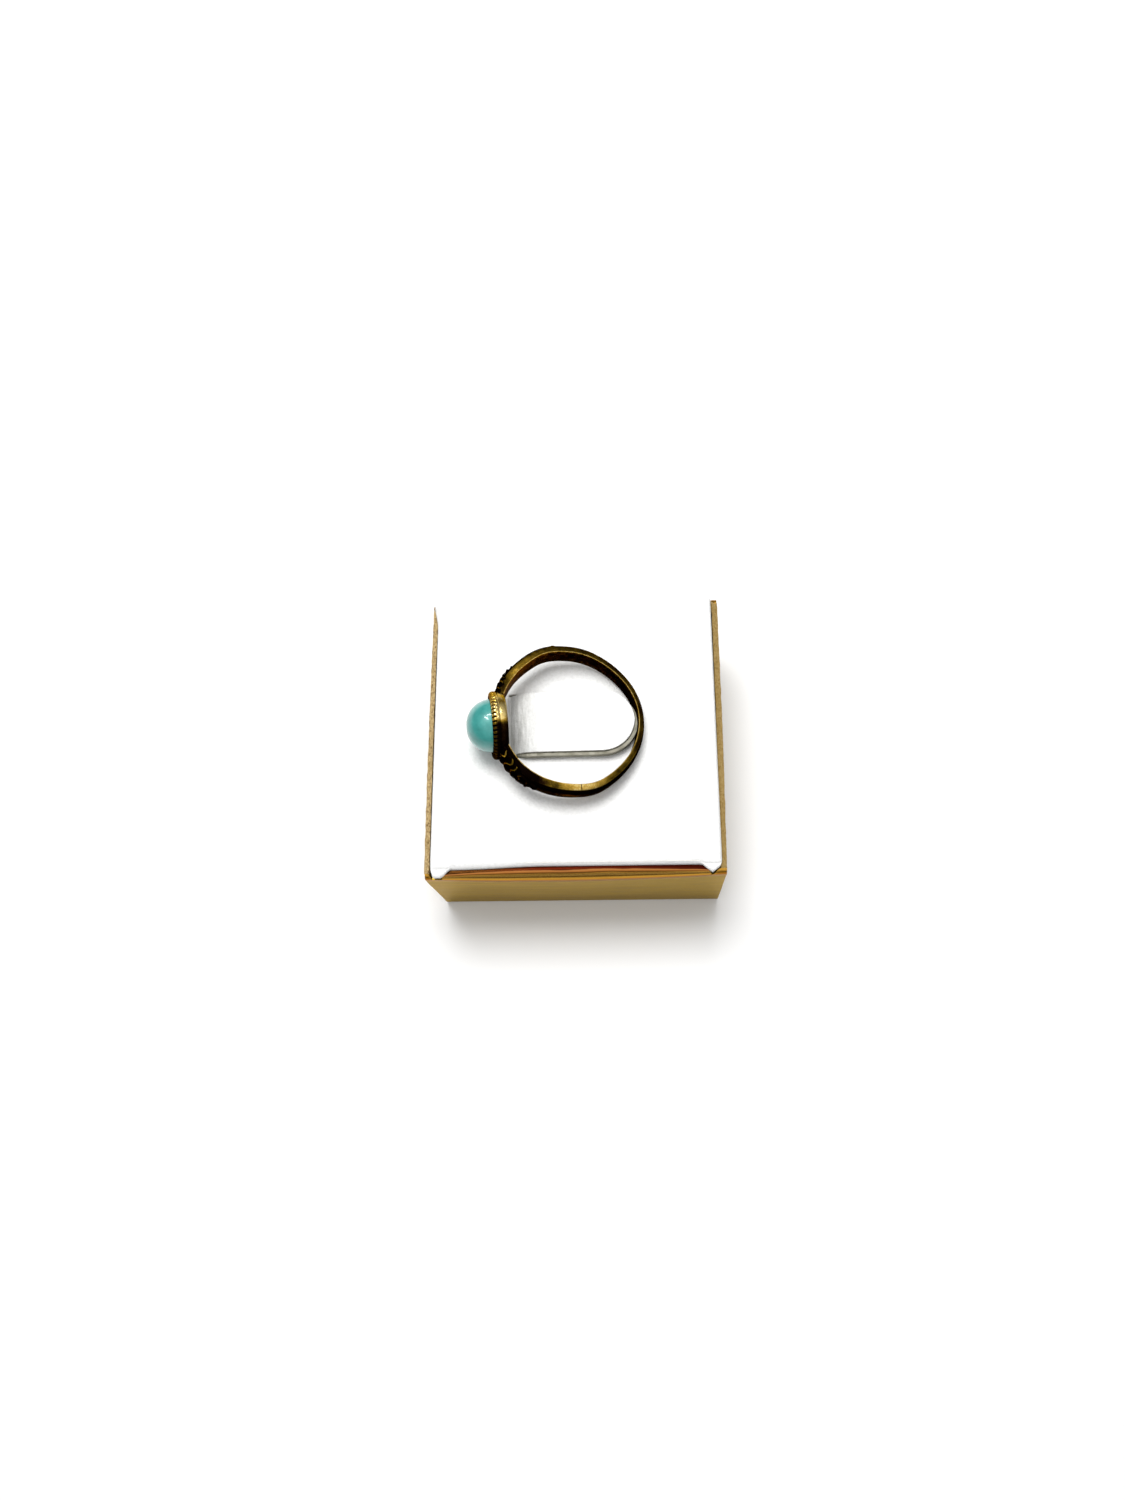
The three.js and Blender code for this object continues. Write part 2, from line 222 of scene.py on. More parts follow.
# ------------------------ material helpers
class Nodes:
    """Short names for building one material's nodes."""

    def __init__(self, name):
        self.material = bpy.data.materials.new(name)
        self.material.use_nodes = True
        self.tree = self.material.node_tree
        self.shader = self.tree.nodes["Principled BSDF"]
        self.position = self.add("ShaderNodeTexCoord").outputs["Object"]

    def add(self, kind, **inputs):
        node = self.tree.nodes.new(kind)
        for key, value in inputs.items():
            self.put(node.inputs[key.replace("_", " ")], value)
        return node

    def put(self, socket, value):
        if isinstance(value, bpy.types.NodeSocket):
            self.tree.links.new(value, socket)
        else:
            socket.default_value = value

    def stretched(self, per_mm):
        """Object position scaled by so many units per millimetre: one number, or one for each axis."""
        scale = per_mm if isinstance(per_mm, list) else [per_mm] * 3
        node = self.add("ShaderNodeMapping", Vector=self.position)
        node.inputs["Scale"].default_value = [s / MM for s in scale]
        return node.outputs["Vector"]

    def noise(self, per_mm, detail=4.0, roughness=0.6):
        node = self.add("ShaderNodeTexNoise", Vector=self.stretched(per_mm),
                        Scale=1.0, Detail=detail, Roughness=roughness)
        return node.outputs["Fac"]

    def cells(self, per_mm):
        node = self.add("ShaderNodeTexVoronoi", Vector=self.stretched(per_mm), Scale=1.0)
        return node.outputs["Distance"]

    def ramp(self, factor, stops):
        node = self.add("ShaderNodeValToRGB", Fac=factor)
        set_stops(node, stops)
        return node.outputs["Color"]

    def span(self, factor, low, high, to_low=0.0, to_high=1.0):
        """The factor's stretch from low to high turned into to_low to to_high, and held beyond them."""
        node = self.add("ShaderNodeMapRange", Value=factor, From_Min=low, From_Max=high,
                        To_Min=to_low, To_Max=to_high)
        return node.outputs["Result"]

    def math(self, operation, a, b):
        node = self.tree.nodes.new("ShaderNodeMath")
        node.operation = operation
        self.put(node.inputs[0], a)
        self.put(node.inputs[1], b)
        return node.outputs[0]

    def plus(self, a, b):
        return self.math("ADD", a, b)

    def times(self, a, b):
        return self.math("MULTIPLY", a, b)

    def strayed(self, value, wave, most):
        """The value pushed up and down by a noise that runs from 0 to 1."""
        return self.plus(value, self.times(self.math("SUBTRACT", wave, 0.5), most))

    def mix(self, factor, a, b):
        node = self.tree.nodes.new("ShaderNodeMix")
        node.data_type = "RGBA"
        self.put(node.inputs["Factor"], factor)
        self.put(node.inputs["A"], a)
        self.put(node.inputs["B"], b)
        return node.outputs["Result"]

    def level(self):
        """The mesh's point attribute level."""
        node = self.tree.nodes.new("ShaderNodeAttribute")
        node.attribute_name = "level"
        return node.outputs["Fac"]

    def axis(self, name):
        node = self.add("ShaderNodeSeparateXYZ", Vector=self.position)
        return node.outputs[name]

    def bump(self, height, distance_mm, strength, normal=None):
        node = self.add("ShaderNodeBump", Height=height, Strength=strength, Distance=distance_mm * MM)
        if normal is not None:
            self.put(node.inputs["Normal"], normal)
        return node.outputs["Normal"]

    def finish(self, **inputs):
        for key, value in inputs.items():
            self.put(self.shader.inputs[key.replace("_", " ")], value)
        return self.material


def set_stops(node, stops):
    """Fills a colour ramp from (place, colour) pairs."""
    elements = node.color_ramp.elements
    while len(elements) < len(stops):
        elements.new(0.5)
    for element, (place, colour) in zip(elements, stops):
        element.position = place
        element.color = colour


def rgb(r, g, b):
    """A colour given as 0-255 screen values, as Blender's linear colour."""
    def linear(c):
        c /= 255
        return c / 12.92 if c <= 0.04045 else ((c + 0.055) / 1.055) ** 2.4
    return (linear(r), linear(g), linear(b), 1.0)


def grey(value):
    """A grey, as a linear colour."""
    return (value, value, value, 1.0)


# ------------------------ materials
def gold_foil(name, along, paint_fold_reflections=False):
    """Brushed gold foil on board. The grain runs along the given axis.

    One that paints its fold's reflections gets amber, bright and dark red painted reflection lines over its
    fold, placed by the point attribute level: 0 to 1 round the fold, from the ledge to the face.
    """
    n = Nodes(name)
    fine = [7.0] * 3
    fine[along] = 0.22
    broad = [1.1] * 3
    broad[along] = 0.06
    grain = n.noise(fine, detail=5.0, roughness=0.7)
    bands = n.noise(broad, detail=3.0)
    speckle = n.noise(5.0, detail=3.0)
    tone = n.plus(n.times(grain, 0.65), n.times(bands, 0.35))
    colour = n.ramp(tone, [(0.34, rgb(142, 114, 38)), (0.5, rgb(164, 136, 50)), (0.66, rgb(188, 158, 64))])
    colour = n.mix(n.span(speckle, 0.58, 0.72, 0.0, 0.4), colour, rgb(96, 70, 18))
    rough = n.span(grain, 0.3, 0.7, 0.34, 0.5)
    normal = n.bump(grain, 0.02, 0.35)
    if paint_fold_reflections:
        colour, rough = painted_fold_reflections(n, colour, rough)
    return n.finish(Base_Color=colour, Roughness=rough, Metallic=1.0, Normal=normal,
                    Specular_Tint=rgb(242, 230, 212))


def painted_fold_reflections(n, colour, rough):
    """Painted reflections over the fold: amber, bright and dark red lines. The dark red innermost one is a
    painted shadow and reflection of the gap under the pad's edge.

    The innermost line is brown instead of red towards the left.
    """
    level = n.strayed(n.level(), n.noise([0.09, 0.3, 0.3], detail=2.0), 0.22)
    level = n.strayed(level, n.noise([0.5, 1.5, 1.5], detail=2.0), 0.05)
    place = n.span(level, -0.3, 1.5)
    # painted reflection colours round the fold, from the painted shadow under the pad's edge out to the
    # face
    painted_streaks = n.ramp(place, [
        (0.10, rgb(62, 15, 6)), (0.225, rgb(84, 26, 8)), (0.25, rgb(188, 128, 72)),
        (0.30, rgb(176, 112, 48)), (0.325, rgb(100, 50, 12)), (0.36, rgb(224, 168, 72)),
        (0.44, rgb(228, 178, 90)), (0.475, rgb(116, 80, 20)), (0.51, rgb(208, 158, 66)),
        (0.58, rgb(184, 132, 44)), (0.65, rgb(154, 96, 14)), (0.80, rgb(150, 98, 22)),
        (0.90, rgb(162, 129, 52)),
    ])
    left_part = n.span(n.axis("X"), -4 * MM, -13 * MM, 0.0, 0.8)
    inner_part = n.span(place, 0.24, 0.22)
    painted_streaks = n.mix(n.times(left_part, inner_part), painted_streaks, rgb(60, 38, 12))
    mask = n.span(level, 1.6, 1.2)
    glossy = n.mix(mask, rough, grey(0.27))
    return n.mix(mask, colour, painted_streaks), glossy


def kraft_edge(name, darker_gold_share):
    """The raw cut edge of the board: fibres and dark specks, with foil smeared over it in places."""
    n = Nodes(name)
    fibre = n.noise([4.5, 3.0, 7.0], detail=6.0, roughness=0.7)
    specks = n.noise([5.0, 2.6, 5.0], detail=3.0, roughness=0.7)
    colour = n.ramp(fibre, [(0.3, rgb(128, 104, 62)), (0.5, rgb(176, 150, 102)),
                            (0.72, rgb(206, 184, 138))])
    colour = n.mix(n.span(specks, 0.53, 0.62, 0.0, 0.85), colour, rgb(84, 58, 24))
    # Mixes the edge towards a darker gold in patches; the second argument raises the mix all over.
    smear = n.span(n.noise([0.7, 0.35, 0.7], detail=3.0), 0.5, 0.68, darker_gold_share, 0.4 + 0.6 * darker_gold_share)
    colour = n.mix(smear, colour, rgb(132, 106, 46))
    normal = n.bump(fibre, 0.14, 0.9)
    return n.finish(Base_Color=colour, Roughness=0.84, Normal=normal)


def leatherette(name, paint_shade=False):
    """White grained leatherette, with a few faint grey scuffs.

    One that paints shade is greyer where the point attribute level rises to 1: painted shade on the flap's
    bend.
    """
    n = Nodes(name)
    cells = n.cells(3.6)
    wrinkle = n.noise(2.4, detail=5.0, roughness=0.6)
    pores = n.noise(11.0, detail=3.0)
    tint = n.ramp(wrinkle, [(0.3, rgb(236, 236, 234)), (0.6, rgb(247, 247, 246))])
    scuff = n.noise([1.1, 0.5, 1.1], detail=6.0, roughness=0.75)
    colour = n.mix(n.span(scuff, 0.7, 0.76, 0.0, 0.5), tint, rgb(120, 120, 118))
    if paint_shade:
        # painted shade on the flap's bend, streaky along its wrinkles, as strong as the level says
        streak = n.noise([1.6, 0.3, 1.6], detail=4.0, roughness=0.7)
        painted_shade = n.times(n.level(), n.span(streak, 0.3, 0.7, 0.4, 1.0))
        colour = n.mix(painted_shade, colour, rgb(128, 128, 114))
    rough = n.span(pores, 0.3, 0.7, 0.38, 0.55)
    lines = n.noise([3.2, 0.35, 3.2], detail=3.0)
    grain = n.plus(n.times(cells, 0.7), n.times(wrinkle, 0.8))
    grain = n.plus(grain, n.times(lines, 1.1))
    normal = n.bump(grain, 0.06, 0.6, n.bump(pores, 0.012, 0.4))
    return n.finish(Base_Color=colour, Roughness=rough, Normal=normal, Specular_IOR_Level=0.45)


def card_edge():
    """Cut edge of the white card, greyish, with its plies showing as fine lines."""
    n = Nodes("card_edge")
    plies = n.noise([0.6, 0.6, 9.0], detail=3.0)
    fibre = n.noise(7.0, detail=4.0)
    colour = n.ramp(plies, [(0.35, rgb(122, 119, 104)), (0.65, rgb(166, 163, 148))])
    return n.finish(Base_Color=colour, Roughness=0.85, Normal=n.bump(fibre, 0.04, 0.6))


def gap_shadow_grey():
    """Painted shadow: a dark grey between the flap's plies, standing for the shaded gap under the
    leatherette's edge.
    """
    n = Nodes("gap_shadow_grey")
    blotch = n.noise(1.5, detail=4.0)
    colour = n.ramp(blotch, [(0.35, rgb(70, 68, 58)), (0.65, rgb(112, 109, 96))])
    return n.finish(Base_Color=colour, Roughness=0.8, Normal=n.bump(blotch, 0.02, 0.5))


def white_card():
    n = Nodes("white_card")
    fibre = n.noise(3.0, detail=5.0)
    colour = n.ramp(fibre, [(0.35, rgb(222, 219, 211)), (0.65, rgb(236, 234, 228))])
    return n.finish(Base_Color=colour, Roughness=0.88, Normal=n.bump(fibre, 0.03, 0.5))


def white_foam():
    n = Nodes("white_foam")
    bubbles = n.cells(2.2)
    fine = n.cells(5.0)
    both = n.plus(bubbles, n.times(fine, 0.5))
    colour = n.ramp(both, [(0.1, rgb(196, 196, 190)), (0.6, rgb(244, 244, 240))])
    return n.finish(Base_Color=colour, Roughness=0.95, Normal=n.bump(both, 0.25, 0.9))


def antique_brass():
    """Brass under a dark patina. The point attribute level says how dark it is, from 0 to 1: patina, and on
    the band and the head also painted highlight and painted shade.
    """
    n = Nodes("antique_brass")
    blotch = n.noise(1.2, detail=6.0, roughness=0.65)
    pits = n.noise(6.5, detail=4.0, roughness=0.7)
    patina_and_painted_light = n.strayed(n.strayed(n.level(), blotch, 0.75), pits, 0.55)
    colour = n.ramp(patina_and_painted_light, [
        (0.02, rgb(244, 216, 140)), (0.2, rgb(200, 160, 66)), (0.42, rgb(132, 104, 30)),
        (0.62, rgb(78, 60, 14)), (0.8, rgb(38, 22, 8)), (1.0, rgb(10, 4, 2)),
    ])
    rough = n.span(patina_and_painted_light, 0.1, 0.9, 0.22, 0.42)
    normal = n.bump(pits, 0.035, 0.4)
    return n.finish(Base_Color=colour, Roughness=rough, Metallic=1.0, Normal=normal,
                    Specular_Tint=rgb(120, 88, 44))


def turquoise():
    """Polished turquoise, a little mottled."""
    n = Nodes("turquoise")
    cloud = n.noise(0.55, detail=4.0)
    fleck = n.noise(3.2, detail=3.0)
    colour = n.ramp(cloud, [(0.32, rgb(42, 130, 124)), (0.52, rgb(56, 146, 140)), (0.7, rgb(74, 160, 153))])
    colour = n.mix(n.span(fleck, 0.62, 0.72, 0.0, 0.15), colour, rgb(48, 124, 118))
    normal = n.bump(fleck, 0.008, 0.25)
    return n.finish(Base_Color=colour, Roughness=0.3, Normal=normal, Coat_Weight=0.75, Coat_Roughness=0.03)


# ------------------------ tray
MITRE_START = LEDGE_HALF + 0.1      # half length of the ledge at its outer edge
END_FOLD = 0.7                      # fold radius at the mitred ends
MIDDLE_FOLD = 1.5                   # and in the middle of the wall
INNER_FOLD = 0.5
BASE_FOLD = 0.5
LEDGE_BACK = LEDGE_HIGH.y           # the inner ply's face, for the front wall
HORN_COLUMNS = 5                    # cells in each corner beyond the ledge's mitred ends
HORN_ROWS = 8
CORNER_LEAN = {-1: 0.0, 1: -0.26}   # how far each side wall's top leans at the front corner


def fold_radius(x):
    """The outer fold is rounder in the middle of the wall than at its ends."""
    share = clamp(1 - (x / MITRE_START) ** 2)
    return lerp(END_FOLD, MIDDLE_FOLD, share ** 0.85)


def wall_lean(x, z, lean):
    """How far a wall's top stands out from the vertical: left, middle bow and right."""
    left, bow, right = lean
    share = clamp((x + HALF_W) / (2 * HALF_W))
    top = lerp(left, right, share) + bow * clamp(1 - (x / HALF_W) ** 2)
    return top * smooth(z / WALL_TOP) + 0.03 * wander(x, z, 5.0, 7.0)


def folded_stations():
    """Rows across the folded wall: (kind, share) from the base fold to the foot of the inner ply."""
    rows = [("base", s) for s in spread(0, 1, 6)]
    rows += [("face", s) for s in spread(0, 1, 27)[1:]]
    rows += [("fold", s) for s in spread(0, 1, 17)[1:]]
    rows += [("ledge", s) for s in spread(0, 1, 5)[1:]]
    rows += [("inner_fold", s) for s in spread(0, 1, 8)[1:]]
    rows += [("inner", s) for s in spread(0, 1, 9)[1:]]
    return rows


def folded_point(kind, share, x, depth, lean):
    """(y, z) on the front wall's sheet, at a depth below its foil."""
    face = -HALF_D
    if kind == "base":
        angle = math.radians(lerp(90, 0, share))
        radius = max(BASE_FOLD - depth, TIGHTEST)
        return face + BASE_FOLD - radius * math.cos(angle), BASE_FOLD - radius * math.sin(angle)
    radius = fold_radius(x)
    start = WALL_TOP - radius
    if kind == "face":
        z = lerp(BASE_FOLD, start, share)
        return face - wall_lean(x, z, lean) + depth, z
    top_face = face - wall_lean(x, start, lean)
    if kind == "fold":
        angle = math.radians(90 * share)
        ripple = 0.035 * math.sin(3.2 * math.pi * share) * clamp(1 - (x / 17) ** 2) * smooth(share * 2)
        inside = max(radius - depth, TIGHTEST) + ripple
        return top_face + radius - inside * math.cos(angle), start + inside * math.sin(angle)
    corner = LEDGE_BACK - INNER_FOLD
    if kind == "ledge":
        return lerp(top_face + radius, corner, share), WALL_TOP - depth
    inside = max(INNER_FOLD - depth, TIGHTEST)
    if kind == "inner_fold":
        angle = math.radians(90 * (1 - share))
        return corner + inside * math.cos(angle), WALL_TOP - INNER_FOLD + inside * math.sin(angle)
    return LEDGE_BACK - depth, lerp(WALL_TOP - INNER_FOLD, BOARD + 0.05, share)


def horn_turn(x):
    """How far the fold goes on beyond the ledge's mitred ends, in radians.

    It dies away towards the mitre: over a long stretch on the right, and close to the corner on the left.
    """
    reach = (x - MITRE_START) / 1.3 if x > 0 else (-x - 19.0) / 0.5
    return math.radians(90) * max(smooth(reach), 0.06)


def folded_wall(name, turned, lean, materials):
    """The front wall's one board: up the outside, over the fold, along the ledge and down the inside.

    A turned one is the back wall. lean is (left, middle bow, right).
    """
    rows = folded_stations()
    middle = spread(-MITRE_START, MITRE_START, 73)
    horn = spread(MITRE_START, HALF_W, HORN_COLUMNS + 1)[1:]
    columns = [-x for x in reversed(horn)] + middle + horn
    first = HORN_COLUMNS
    last = len(columns) - 1 - HORN_COLUMNS
    face_end = max(i for i, (kind, _) in enumerate(rows) if kind == "face")
    cells = [cell for cell in grid_cells(len(rows), len(columns))
             if cell[2][0] <= face_end or first <= cell[0][1] < last]
    for r in range(HORN_ROWS):
        for c in list(range(first)) + list(range(last, len(columns) - 1)):
            low = (face_end, c) if r == 0 else ("horn", r, c)
            low_next = (face_end, c + 1) if r == 0 else ("horn", r, c + 1)
            cells.append((low, low_next, ("horn", r + 1, c + 1), ("horn", r + 1, c)))

    def place(key, depth):
        if key[0] == "horn":
            x = columns[key[2]]
            angle = horn_turn(x) * key[1] / HORN_ROWS
            start = WALL_TOP - END_FOLD
            inside = END_FOLD - depth
            y = -HALF_D - wall_lean(x, start, lean) + END_FOLD - inside * math.cos(angle)
            z = start + inside * math.sin(angle)
        else:
            kind, share = rows[key[0]]
            x = columns[key[1]]
            y, z = folded_point(kind, share, x, depth, lean)
            if kind in ("fold", "ledge", "inner_fold", "inner"):
                outside, _ = folded_point(kind, share, x, 0.0, lean)
                cut = clamp(outside + HALF_D, 0, LEDGE_DEPTH)
                x *= (MITRE_START - cut) / MITRE_START
        if abs(x) > MITRE_START and not turned:
            end = math.copysign(1, x)
            x += CORNER_LEAN[end] * smooth(z / WALL_TOP) * (abs(x) - MITRE_START) / (HALF_W - MITRE_START)
        return (-x, -y, z) if turned else (x, y, z)

    def level(key):
        """1 where the face meets the fold, 0 where the fold meets the ledge, and more down the face."""
        if key[0] == "horn":
            return 1.0 - 0.4 * key[1] / HORN_ROWS
        kind, share = rows[key[0]]
        x = columns[key[1]]
        if kind == "face":
            z = lerp(BASE_FOLD, WALL_TOP - fold_radius(x), share)
            return 1 + (WALL_TOP - fold_radius(x) - z) / 2
        if kind == "base":
            return 10.0
        if kind == "fold":
            return 1 - share
        return -share if kind == "ledge" else -1.0

    return thick_sheet(name, cells, place, (0.0, BOARD), materials, level, sharp=50)


def side_wall(name, side, lean, reach, top_thickness, materials):
    """A single board up from the base fold to a raw cut top edge.

    lean is for its front and back ends. reach is how far its top's front end follows the front wall out,
    and top_thickness is how thick its frayed top edge is.
    """
    half = HALF_D - BOARD
    stations = [("base", s) for s in spread(0, 1, 6)] + [("face", s) for s in spread(0, 1, 30)[1:]]
    stations += [("top", s) for s in (0.25, 0.5, 0.75)]
    columns = spread(-half, half, 180)

    def place(key, depth):
        kind, share = stations[key[0]]
        y = columns[key[1]]
        if kind == "base":
            angle = math.radians(lerp(90, 0, share))
            radius = max(BASE_FOLD - depth, TIGHTEST)
            across = HALF_W - BASE_FOLD + radius * math.cos(angle)
            return (side * across, y, BASE_FOLD - radius * math.sin(angle))
        z = lerp(BASE_FOLD, WALL_TOP, share) if kind == "face" else WALL_TOP
        along = (y + half) / (2 * half)
        tip = smooth(z / WALL_TOP) * (lerp(*lean, along) + 0.1 * clamp(1 - (y / half) ** 2))
        frayed = smooth((z - WALL_TOP + 1.2) / 1.2)
        thick = lerp(BOARD, top_thickness, frayed)
        inward = depth / BOARD * thick
        if kind == "top":
            inward = thick * (share if depth == 0.0 else 2 - share) / 2
        across = HALF_W - inward + tip + frayed * 0.06 * wander(y, depth * 9, side * 3.0, 1.1)
        upper = smooth((z - 12) / (WALL_TOP - 12))
        y -= reach * upper * smooth((3 - half - y) / 3)
        if z == WALL_TOP:
            z += 0.07 * wander(y, side * 7.0 + inward * 2, 1.0, 0.7) - 0.06
        return (side * across, y, z)

    def on_top(cell):
        return stations[cell[2][0]][0] == "top"

    cells = grid_cells(len(stations), len(columns))
    return thick_sheet(name, cells, place, (0.0, BOARD), materials, cut_edge=on_top, sharp=50)


def base_board(materials):
    """The base panel, foil underneath."""
    reach_x = HALF_W - BASE_FOLD
    reach_y = HALF_D - BASE_FOLD
    xs = spread(-reach_x, reach_x, 24)
    ys = spread(-reach_y, reach_y, 24)

    def place(key, z):
        x, y = xs[key[1]], ys[key[0]]
        sag = 0.05 * clamp(1 - (x / reach_x) ** 2) * clamp(1 - (y / reach_y) ** 2)
        return (x, y, z + sag)

    return thick_sheet("base_board", grid_cells(len(ys), len(xs)), place, (0.0, BOARD), materials)


def foam_pad(material):
    """The foam block, with soft edges and slightly swollen faces."""
    low, high = box_mm("foam_block")
    centre = (low + high) / 2
    half = (high - low) / 2
    work = bmesh.new()
    bmesh.ops.create_cube(work, size=2.0)
    bmesh.ops.subdivide_edges(work, edges=work.edges, cuts=11, use_grid_fill=True)
    for vertex in work.verts:
        share = vertex.co.copy()
        point = Vector(s * h for s, h in zip(share, half))
        for axis in range(3):
            others = [abs(share[i]) for i in range(3) if i != axis]
            pinch = 0.22 * max(others) ** 8 if abs(share[axis]) > 0.99 else 0.0
            point[axis] -= math.copysign(pinch, share[axis])
        point += 0.12 * Vector((wander(*point, 3.0), wander(point.y, point.z, point.x, 3.0), 0.0))
        vertex.co = (centre + point) * MM
    mesh = bpy.data.meshes.new("foam_pad")
    work.to_mesh(mesh)
    work.free()
    mesh.materials.append(material)
    mesh.shade_smooth()
    foam = add_object("foam_pad", mesh)
    rounding = foam.modifiers.new("smooth", "SUBSURF")
    rounding.levels = 1
    rounding.render_levels = 2
    return foam


# ------------------------ insert
# The cover's edges, close to the CAD cover's.
PAD_LEFT = COVER_LOW.x - 0.16
PAD_RIGHT = COVER_HIGH.x + 0.02
PAD_BACK = COVER_HIGH.y + 0.1
PAD_FRONT = COVER_LOW.y + 0.05
PAD_CORNER = 0.5
WINDOW_GAP = 0.3                    # between the flap and its window, and past its tip
WINDOW_TIP_GAP = 0.7
FRONT_ROLL = 1.5                    # how broadly the cover rolls over its front and its other edges
SIDE_ROLL = 0.55
LIP = 0.12                          # the window's softened edge
TAIL_REACH = 1.08


def pad_tails(x):
    """0 to 1: where the cover's front corners stick out in tails over the ledge's mitred ends."""
    left = smooth((-16.5 - x) / 1.4) * smooth((x + 19.3) / 0.5)
    right = clamp(1 - abs(x - 17.85) / 1.45)
    return left, right


def pad_shift(x, y):
    """How far the cover's edge strays from a plain rectangle, at its front and its back left corner."""
    front = smooth((-16.4 - y) / 2.0)
    forward = 0.36 * front * smooth((-4 - x) / 12)
    outward = 0.55 * smooth((y - 15.5) / 4) * smooth((-x - 17) / 1.5)
    return Vector((x - outward, y - forward))


def pad_height(x, y):
    """Height of the cover's top, away from its rolled edge."""
    return PAD_TOP + 0.02 * wander(x, y, 1.0, 6.0) + 0.01 * wander(x, y, 4.0, 2.2)


def tail_point(share, finish, edge, top, reach):
    """(place, height) across a corner tail: a short roll, a crease, the tail's back, and its drop."""
    crease_height = top - 0.62
    tip_drop = 0.12
    tip = edge + Vector((0.0, -reach))
    if share < 0.55:
        angle = math.radians(90 * share / 0.55)
        return finish.lerp(edge, math.sin(angle)), lerp(crease_height, top, math.cos(angle))
    if share < 0.85:
        along = (share - 0.55) / 0.3
        bulge = 0.1 * math.sin(math.pi * along)
        return edge.lerp(tip, along * 0.92), crease_height - tip_drop * along + bulge
    along = (share - 0.85) / 0.15
    return edge.lerp(tip, 0.92 + 0.08 * along), crease_height - tip_drop - 0.4 * along


def pad_outline(inset, inset_front):
    """The cover's outline as a list of points, anticlockwise from the front left corner."""
    radius = PAD_CORNER
    left, right = PAD_LEFT + inset, PAD_RIGHT - inset
    front, back = PAD_FRONT + inset_front, PAD_BACK - inset
    corners = [(left + radius, front + radius, 180), (right - radius, front + radius, 270),
               (right - radius, back - radius, 0), (left + radius, back - radius, 90)]
    outline = []
    for x, y, start in corners:
        outline += arc((x, y), radius, start, start + 90, 7)
    return outline


def window_outline(grow):
    """The D-shaped window's outline, anticlockwise from its near root corner."""
    half = FLAP_HALF + WINDOW_GAP + grow
    end = FLAP_END + WINDOW_GAP + grow
    tip = FLAP_HIGH.x + WINDOW_TIP_GAP + grow
    root = FLAP_LOW.x - WINDOW_GAP - grow
    outline = [(root, FLAP_CENTRE_Y - half)]
    for angle in spread(-math.pi / 2, math.pi / 2, 41):
        outline.append((tip - end + end * math.cos(angle), FLAP_CENTRE_Y + half * math.sin(angle)))
    outline.append((root, FLAP_CENTRE_Y + half))
    return outline


def ray_hit(centre, angle, outline):
    """Where a ray from the centre leaves a closed outline."""
    way_x, way_y = math.cos(angle), math.sin(angle)
    furthest = 0.0
    for (ax, ay), (bx, by) in zip(outline, outline[1:] + outline[:1]):
        edge_x, edge_y = bx - ax, by - ay
        cross = way_x * edge_y - way_y * edge_x
        if abs(cross) < 1e-9:
            continue
        from_x, from_y = ax - centre[0], ay - centre[1]
        along = (from_x * edge_y - from_y * edge_x) / cross
        share = (from_x * way_y - from_y * way_x) / cross
        if along > 0 and -1e-6 <= share <= 1 + 1e-6:
            furthest = max(furthest, along)
    return Vector((centre[0] + furthest * way_x, centre[1] + furthest * way_y))


def leatherette_cover(materials):
    """The leatherette over the card, rolled over its edges, with the flap's window cut in it."""
    centre = (0.0, FLAP_CENTRE_Y)
    rim = pad_outline(0, 0)
    window = window_outline(0)
    corners = [window[0], window[-1], *rim]
    angles = {round(math.atan2(y - centre[1], x - centre[0]), 6) for x, y in corners}
    angles |= {round(math.pi * (i / 260 - 1), 6) for i in range(520)}
    angles = sorted(angles)
    outlines = (window, window_outline(LIP), pad_outline(SIDE_ROLL, FRONT_ROLL), rim)
    rings = [[ray_hit(centre, a, outline) for a in angles] for outline in outlines]
    lip = [("lip", s) for s in spread(0, 1, 4)]
    flat = [("flat", s) for s in spread(0, 1, 30)[1:]]
    roll = [("roll", s) for s in spread(0, 1, 13)[1:]]
    rows = lip + flat + roll

    def place(key, depth):
        kind, share = rows[key[0]]
        hole, lip_end, flat_end, edge = (ring[key[1]] for ring in rings)
        angle = math.radians(90 * share)
        if kind == "lip":
            p = hole.lerp(lip_end, 1 - math.cos(angle))
            return (p.x, p.y, pad_height(*p) - LIP * (1 - math.sin(angle)) - depth)
        if kind == "flat":
            p = pad_shift(*lip_end.lerp(flat_end, share))
            return (p.x, p.y, pad_height(*p) - depth)
        finish = pad_shift(*flat_end)
        edge = pad_shift(*edge)
        p = finish.lerp(edge, math.sin(angle))
        top = pad_height(*finish)
        away = (edge - finish).normalized() * math.sin(angle)
        z = lerp(COVER_LOW.z, top, math.cos(angle) ** 0.8)
        left, right = pad_tails(edge.x)
        tail = (left + right) * smooth((-17.9 - edge.y) / 0.5)
        if tail > 0:
            tail_place, tail_height = tail_point(share, finish, edge, top, TAIL_REACH * (left + right))
            weight = smooth(tail * 4)
            p = p.lerp(tail_place, weight)
            z = lerp(z, tail_height, weight)
        return (p.x - away.x * depth, p.y - away.y * depth, z - math.cos(angle) * depth)

    cells = grid_cells(len(rows), len(angles), wrap=True)
    return thick_sheet("leatherette_cover", cells, place, (0.0, LEATHERETTE), materials, sharp=60)


# ------------------------ flap
def flap_rise(s):
    """Height of the flap's top above the pad, at distance s from its crease."""
    length = FLAP_HIGH.x - FLAP_LOW.x
    bend = clamp(s / FLAP_BEND)
    beyond = max(s - FLAP_BEND, 0) / (length - FLAP_BEND)
    return FLAP_BEND_RISE * (1 - (1 - bend) ** 2) + (FLAP_TIP_RISE - FLAP_BEND_RISE) * beyond


